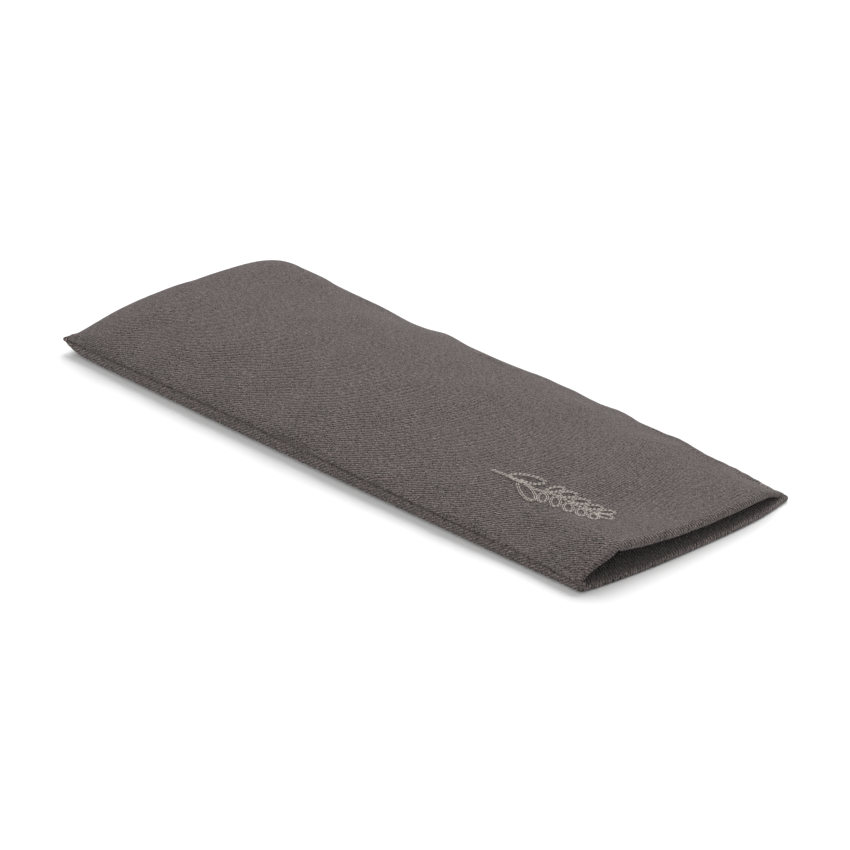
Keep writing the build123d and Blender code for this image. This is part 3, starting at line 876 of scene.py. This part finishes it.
found = [stitch_line(line, k * ROW_GAP / 2, 0.25 * (k > 0)) for line in lines for k in (1, -1)]
middles, ways = (np.concatenate(part) for part in zip(*found))
c, s = np.cos(MOTIF_TILT), np.sin(MOTIF_TILT)
turn = np.array([[c, s], [-s, c]])
middles, ways = middles @ turn + MOTIF, ways @ turn
p, n = on_cloth(top_outer, top_normal, middles[:, 0], middles[:, 1])
ways = np.concatenate([ways, np.zeros((len(ways), 1))], -1)
ways = unit(ways - (ways * n).sum(-1, keepdims=True) * n)
lengths = 1.2 + 0.15 * np.sin(np.arange(len(p)) * 2.4)
sprig = stitches("lavender_embroidery", p + 0.02 * n, ways, n, lengths, 0.36, arch=0.18)
dress(sprig, floss, "cover", "embroidery_thread", "embroidery_thread")
flatten(sprig)

# %% [markdown]
# ## Backing felt and care label
# A patch of felt under the embroidery keeps the stitches from pulling the cloth together. It is cut from
# the same grid as the top panel, moved in by the cloth's thickness. The care label is a blank tape, held
# by the left seam, that lies on the bottom panel and climbs to the seam along a smooth step.


# %% Build the backing and the label
def felt(name, light, dark):
    """Short fibres every way: two noises of different size."""
    material, tree, shader = new_material(name, sheen=0.3)
    fibre = noise(tree, cloth_place(tree, 20.0, (3.0, 0.7, 1.0)), 1.6, 4.0)
    other = noise(tree, cloth_place(tree, 110.0, (3.0, 0.7, 1.0)), 1.6, 4.0)
    share = maths(tree, "MULTIPLY", maths(tree, "ADD", fibre, other), 0.5)
    colour = mixed(tree, share, linear(dark), linear(light))
    finish_surface(tree, shader, colour, share, 0.12, maths(tree, "MULTIPLY_ADD", share, 0.1, 0.88))
    return material


def plain_weave(name, light, dark, pitch, depth, specks=0.0):
    """Over and under: the product of a sine along and a sine across, with uneven yarns."""
    material, tree, shader = new_material(name, sheen=0.15)
    flat = cloth_place(tree)
    place = node(tree, "ShaderNodeSeparateXYZ", {"Vector": flat})
    waves = [
        maths(tree, "SINE", maths(tree, "MULTIPLY", place.outputs[axis], np.pi / pitch))
        for axis in ("X", "Y")
    ]
    over = maths(tree, "MULTIPLY_ADD", maths(tree, "MULTIPLY", *waves), 0.5, 0.5)
    yarn = noise(tree, cloth_place(tree, 0.0, (0.15, 2.0, 1.0)), 1.2, 3.0)
    share = maths(tree, "MULTIPLY_ADD", yarn, 0.7, maths(tree, "MULTIPLY", over, 0.45))
    colour = mixed(tree, share, linear(dark), linear(light))
    speck = maths(tree, "GREATER_THAN", noise(tree, flat, 1.4, 1.0), 0.78)
    colour = mixed(tree, maths(tree, "MULTIPLY", speck, specks), colour, linear("6b5335"))
    finish_surface(tree, shader, colour, share, depth, maths(tree, "MULTIPLY_ADD", over, -0.06, 0.9))
    return material


PATCH_ROW = END_ROWS + BODY_ROWS - 40  # the row, under the sprig, that picks the columns


def part_of_top(low, high, depth):
    """The part of the top panel's grid inside a rectangle, moved in by depth."""
    inside = top_outer[1:-1, COLUMNS // 2, 0]
    across = top_outer[PATCH_ROW, :, 1]
    r = slice(np.searchsorted(inside, low[0]) + 1, np.searchsorted(inside, high[0]) + 1)
    k = slice(np.searchsorted(across, low[1]), np.searchsorted(across, high[1]))
    return top_outer[r, k] - depth * top_normal[r, k]


patch = [part_of_top((54.0, -29.0), (103.5, -10.0), depth) for depth in (0.83, 1.13)]
backing = shell("embroidery_backing_felt", *patch, cloth_uv(patch[0]))
dress(backing, felt("grey_backing_felt", "8f8b88", "5d5957"), "cover", "backing_felt", "embroidery_backing")
flatten(backing)

label_steps = np.linspace(-60, -36, 30), np.linspace(16.7, 40.2, 40)
label_x, label_y = np.meshgrid(*label_steps, indexing="ij")
label_z = 1.0 + 3.0 * smooth_step(label_y, 33.0, 40.2)
label_top = np.stack([label_x, label_y, label_z + 0.3], -1)
label_bottom = np.stack([label_x, label_y, label_z], -1)
label = shell("blank_care_label", label_top, label_bottom, cloth_uv(label_top))
label_tape = plain_weave("woven_label_tape", "efece4", "cfcabd", 0.25, 0.05)
dress(label, label_tape, "cover", "label_tape", "care_label")

# %% [markdown]
# ## The insert
# The insert is a plain bag of thin unbleached cotton, sewn up on all four sides, with flax seed in it.
# It is the same kind of section as the cover, a little smaller everywhere, and rounded at both ends. The
# seeds press through the thin cotton, so its faces carry fine bumps as well as the ripples of its seams.


# %% Insert surfaces
CASING = 0.4  # thickness of the cotton
INSERT_SEAM = 5.0  # height of the casing's seam
INSERT_LENGTH = insert_high[0] - insert_low[0]
INSERT_HALF = insert_high[1]
INSERT_SHOULDER, INSERT_HEEL = 24.0, 9.0  # lengths over which its top and its underside round off
CROWN_GAP = 2.9  # how much less the insert's crown rises than the cover's
CORNER_DROP = 0.9  # how far the casing's seam sinks in the left corner nearest the mouth


def insert_seam(e, across):
    """Height of the casing's seam: level, but lower in the left corner nearest the mouth."""
    corner = smooth_step(across, 0.3, 1.0) * smooth_step(e, INSERT_LENGTH - 40, INSERT_LENGTH)
    return INSERT_SEAM - CORNER_DROP * corner


def insert_pull(e):
    """How far the casing's sides are drawn in at the middle of its length."""
    return 0.6 * np.sin(np.pi * e / INSERT_LENGTH)


def rounded_ends(e, run):
    """A quarter ellipse at each end and 1 between them."""
    return shoulder(e, run) * shoulder(INSERT_LENGTH - e, run)


def insert_point(e, angle, top):
    """(x, y, z) of a casing face, e from its first end; the top face follows the cover's crown."""
    across, up = superellipse(angle, 2.1 if top else 5.0)
    y = (INSERT_HALF - 0.2 - insert_pull(e)) * across
    x = insert_low[0] + e + 0 * y
    if not top:
        reach = INSERT_SEAM - insert_low[2]
        z = insert_seam(e, across) - reach * up * rounded_ends(e, INSERT_HEEL)
        return np.stack([x, y, z], -1)
    rise = crown_rise(x - X_END) - CROWN_GAP
    for cx, cy, height, long, short, turn in DENTS:
        rise = rise + min(height, 0) * soft_spot(x, y, (cx, cy), (long, short), turn)
    z = insert_seam(e, across) + rise * up * rounded_ends(e, INSERT_SHOULDER)
    return np.stack([x, y, under_roof(x, y, z)], -1)


def end_steps(length, run, ends, body):
    """Distances that crowd at both rounded ends."""
    a = run * (1 - np.cos(np.linspace(0, np.pi / 2, ends, endpoint=False)))
    return np.concatenate([a, np.linspace(run, length - run, body), (length - a)[::-1]])


def seed_bumps(shape, seed, height, passes):
    """Smooth random bumps: noise averaged with its neighbours, then scaled to a height."""
    bumps = blurred(np.random.default_rng(seed).normal(size=shape), passes)
    bumps[[0, -1]] = bumps[:, [0, -1]] = 0
    return height * bumps / np.abs(bumps).max()


# %% [markdown]
# ## Building the casing
# Each casing panel is one shell of thin cotton. A coarse copy settles like the cover's cloth, and the
# bumps of the seeds are added to it along the normals, so the weave follows them.

# %% Build the casing
casing_cotton = plain_weave("unbleached_cotton", "e6dcc6", "b9ab8e", 0.55, 0.1, specks=0.7)
steps, across = end_steps(INSERT_LENGTH, INSERT_SHOULDER, 12, 150), column_angles(110)
coarse_steps, coarse_across = end_steps(INSERT_LENGTH, INSERT_SHOULDER, 6, 40), column_angles(26)
for top in (True, False):
    name = "top" if top else "bottom"
    sheet_grid = insert_point(steps[:, None], across[None, :], top)
    coarse = insert_point(coarse_steps[:, None], coarse_across[None, :], top)
    settled = blurred(ripples(coarse, 0.015, 0.35, not top), 1)
    relief = on_finer_grid(settled, steps, across, coarse_steps, coarse_across)
    relief = relief + seed_bumps(relief.shape, 3 + top, 0.35, 2)
    normals = grid_normals(sheet_grid, flip=not top)
    sheet_grid = sheet_grid + (np.minimum(relief, 0.4) - 0.3)[..., None] * normals
    inner = sheet_grid - CASING * normals
    casing = shell(f"insert_{name}_casing", sheet_grid, inner, cloth_uv(sheet_grid), not top)
    dress(casing, casing_cotton, "insert", "casing_cotton", f"insert_{name}_panel")

# %% [markdown]
# ## Stitches of the insert
# Three sides are sewn first, then the bag is filled and the fourth side is closed with its own row.

# %% Build the insert's stitches
# its two colours are painted highlight and painted shade on the twist, as for the other threads
natural_thread = thread("natural_sewing_thread", "ece4d2", "b3a78f", 0.55)
run_x = np.arange(insert_low[0] + 3, insert_high[0] - 3, STITCH_PITCH)
run_y = np.arange(-31.0, 31.1, STITCH_PITCH)
parts = []
for side in (-1, 1):
    e = run_x - insert_low[0]
    y = side * (INSERT_HALF - 0.1 - insert_pull(e))
    z = insert_seam(e, y / INSERT_HALF)
    parts.append((np.stack([run_x, y, z], -1), (1, 0, 0), (0, side, 0)))
level = 0 * run_y
first_end = np.stack([level + insert_low[0] + 0.1, run_y, level + INSERT_SEAM], -1)
parts.append((first_end, (0, 1, 0), (-1, 0, 0)))
centres = np.concatenate([part[0] for part in parts])
ways = np.concatenate([np.broadcast_to(np.array(part[1], float), part[0].shape) for part in parts])
outs = np.concatenate([np.broadcast_to(np.array(part[2], float), part[0].shape) for part in parts])
side_row = stitches("insert_side_stitches", centres, ways, outs, 3.6, 0.32, arch=0.1)
dress(side_row, natural_thread, "insert", "casing_thread", "insert_side_seam_thread")
run_x = level + insert_high[0] - 0.1
closing_z = insert_seam(run_x - insert_low[0], run_y / INSERT_HALF)
closing = np.stack([run_x, run_y, closing_z], -1)
ways, outs = (np.broadcast_to(np.array(v, float), closing.shape) for v in ((0, 1, 0), (1, 0, 0)))
closing_row = stitches("insert_closing_stitches", closing, ways, outs, 3.6, 0.32, arch=0.1)
dress(closing_row, natural_thread, "insert", "casing_thread", "insert_closing_thread")


# %% [markdown]
# ## The filling
# Flax seeds are flat brown ovals about 4 mm by 2 mm, with dried lavender mixed in. They are far too many
# to model one by one, so the mass has one lumpy surface, and its material draws the seeds as cells, each
# with its own brown, and every so often the grey-violet of a lavender bud.

# %% Build the filling
def seeds(name):
    """Stretched cells: one colour for each, with painted shade in the gaps between them."""
    material, tree, shader = new_material(name, sheen=0.0, specular=0.5)
    place = cloth_place(tree, 35.0, (0.5, 1.0, 1.0))
    cells = node(tree, "ShaderNodeTexVoronoi", {"Vector": place}, Scale=0.55)
    value = node(tree, "ShaderNodeSeparateColor", {"Color": cells.outputs["Color"]})
    brown = mixed(tree, value.outputs[0], linear("6e3f1c"), linear("b57c45"))
    bud = maths(tree, "GREATER_THAN", value.outputs[1], 0.9)
    colour = mixed(tree, bud, brown, linear("6d6482"))
    # darker towards each cell's edge: painted shade in the gaps between the seeds; the same dome is the
    # bump
    seed_dome_and_gap_shade = maths(tree, "SUBTRACT", 1.0, cells.outputs["Distance"])
    shade = node(tree, "ShaderNodeHueSaturation", {"Color": colour, "Value": seed_dome_and_gap_shade})
    rough = maths(tree, "MULTIPLY_ADD", value.outputs[2], 0.2, 0.35)
    finish_surface(tree, shader, shade.outputs[0], seed_dome_and_gap_shade, 0.6, rough)
    return material


halves = []
for top in (True, False):
    grid = insert_point(steps[:, None], across[None, :], top)
    normals = grid_normals(grid, flip=not top)
    lumps = seed_bumps(grid.shape[:2], 11 + top, 0.3, 1)
    inwards = (1.15 + lumps)[..., None] * normals
    grid = grid - inwards
    grid[..., 0] = np.clip(grid[..., 0], insert_low[0] + 1.8, insert_high[0] - 2.5)
    grid[..., 1] = np.clip(grid[..., 1], -INSERT_HALF + 2.5, INSERT_HALF - 2.5)
    halves.append(grid)
rim = (halves[0] + halves[1]) / 2
crossed = halves[0][..., 2] < halves[1][..., 2] + 0.1
for grid in halves:
    grid[crossed] = rim[crossed]
    grid[0], grid[-1], grid[:, 0], grid[:, -1] = rim[0], rim[-1], rim[:, 0], rim[:, -1]
halves[0][..., 2] += 0.02
filling = shell("flax_seed_mass", *halves, cloth_uv(halves[0]))
dress(filling, seeds("flax_seed_with_lavender"), "insert", "flaxseed", "flaxseed_filling")

# %% [markdown]
# ## The studio
# A white floor, a bright white surround and one large soft light from behind and above. A wide, weaker
# light in front lifts the near side, as a white reflector does. The surround fills the shadows, so what
# is left is a short grey shadow where the pillow nearly touches the floor.

# %% Floor, light and camera
floor = make_mesh(
    "floor",
    np.array([[-4000, -4000, 0], [4000, -4000, 0], [4000, 4000, 0], [-4000, 4000, 0]], float),
    [[0, 1, 2, 3]],
)
paper = bpy.data.materials.new("white_paper_floor")
paper.use_nodes = True
paper.node_tree.nodes["Principled BSDF"].inputs["Base Color"].default_value = linear("f2f2f2")
paper.node_tree.nodes["Principled BSDF"].inputs["Roughness"].default_value = 0.9
floor.data.materials.append(paper)

world = bpy.data.worlds.new("white_surround")
world.use_nodes = True
world.node_tree.nodes["Background"].inputs["Color"].default_value = (1, 1, 1, 1)
world.node_tree.nodes["Background"].inputs["Strength"].default_value = 0.52
bpy.context.scene.world = world


def soft_sun(name, direction, width, power):
    """Even light from a patch of sky that is width degrees wide, in the direction it comes from."""
    light = bpy.data.lights.new(name, "SUN")
    light.angle, light.energy = np.radians(width), power
    lamp = bpy.data.objects.new(name, light)
    lamp.rotation_mode = "QUATERNION"
    lamp.rotation_quaternion = Vector(direction).to_track_quat("Z", "Y")
    bpy.context.scene.collection.objects.link(lamp)


soft_sun("high_window", (-0.35, 0.75, 0.6), 52.0, 3.75)
soft_sun("front_reflector", (0.45, -0.85, 0.1), 70.0, 1.95)

AZIMUTH, ELEVATION, DISTANCE = np.radians(47.32), np.radians(24.06), 0.9639
AIM = Vector((0.0042, 0.0024, 0.0))
back = Vector(
    (
        np.sin(AZIMUTH) * np.cos(ELEVATION),
        -np.cos(AZIMUTH) * np.cos(ELEVATION),
        np.sin(ELEVATION),
    )
)
lens = bpy.data.cameras.new("camera")
lens.lens, lens.clip_start, lens.clip_end = 135, 0.01, 50
camera = bpy.data.objects.new("camera", lens)
camera.location = AIM + back * DISTANCE
camera.rotation_mode = "QUATERNION"
camera.rotation_quaternion = (-back).to_track_quat("-Z", "Y")
bpy.context.scene.collection.objects.link(camera)
bpy.context.scene.camera = camera
bpy.context.scene.view_settings.view_transform = "Standard"
